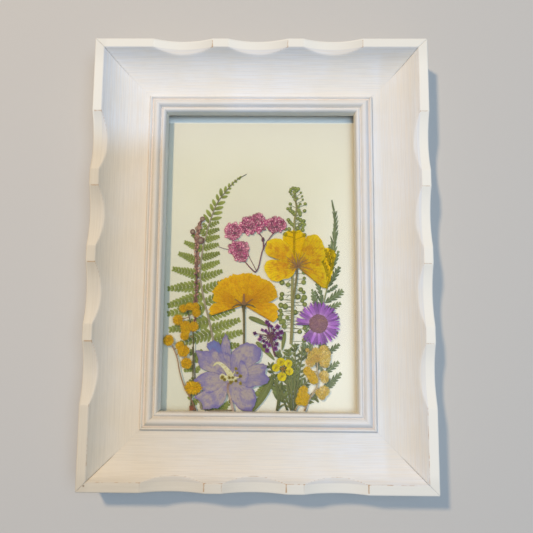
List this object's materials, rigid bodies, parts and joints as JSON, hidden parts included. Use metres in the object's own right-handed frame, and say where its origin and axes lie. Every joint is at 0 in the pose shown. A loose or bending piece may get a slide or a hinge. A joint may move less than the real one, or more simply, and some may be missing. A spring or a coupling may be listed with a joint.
{
  "type": "pressed flower frame",
  "caption": "Scalloped white wooden picture frame with pressed flowers, ferns and leaves on a cream card behind glass.",
  "frame": {"origin": "middle of the frame's flat back, on the surface it lies on", "axes": "+X across the picture to its right, +Y towards the picture's top, +Z out of the frame's face"},
  "size_m": [0.159, 0.21, 0.022],
  "materials": {
    "white_paint": "brushed white paint, rubbed through to tan along the edges",
    "glass": "clear, polished",
    "cream_card": "matte, faintly woven",
    "backing_board": "matte brown fibreboard",
    "tab_steel": "plain",
    "fern_green": "dry leaf",
    "seed_green": "dry seed pods",
    "feather_green": "dry leaf",
    "leaf_green": "dry leaf",
    "spike_brown": "dry buds",
    "pink_petal": "dry petals",
    "yellow_petal": "thin dry petals, translucent",
    "orange_petal": "dry petals",
    "violet_ray": "dry petals",
    "plum_floret": "dry petals",
    "lemon_floret": "dry petals",
    "lavender_petal": "thin dry petals",
    "mimosa_gold": "dry fluffy flower heads"
  },
  "bodies": {
    "root": {"rail_top": "white_paint", "rail_bottom": "white_paint", "rail_left": "white_paint", "rail_right": "white_paint", "glass": "glass", "flower_card": "cream_card", "backing_board": "backing_board", "tab_top_1": "tab_steel", "tab_bottom_1": "tab_steel", "tab_left_1": "tab_steel", "tab_left_2": "tab_steel", "tab_right_1": "tab_steel", "tab_right_2": "tab_steel", "fern_frond": "fern_green", "fern_leaflets": "fern_green", "fern_sprig": "fern_green", "pepperweed": "seed_green", "feather_leaf": "feather_green", "green_foliage": "leaf_green", "pink_sprig": "pink_petal", "seed_spike": "spike_brown", "lance_leaf_upper": "leaf_green", "lance_leaf_middle": "leaf_green", "lance_leaf_small": "leaf_green", "lance_leaf_lower": "leaf_green", "yellow_flower": "yellow_petal", "orange_flower": "orange_petal", "daisy": "violet_ray", "alyssum": "plum_floret", "yellow_umbel": "lemon_floret", "delphinium": "lavender_petal", "right_mimosa": "mimosa_gold", "left_mimosa": "mimosa_gold"}
  },
  "joints": []
}
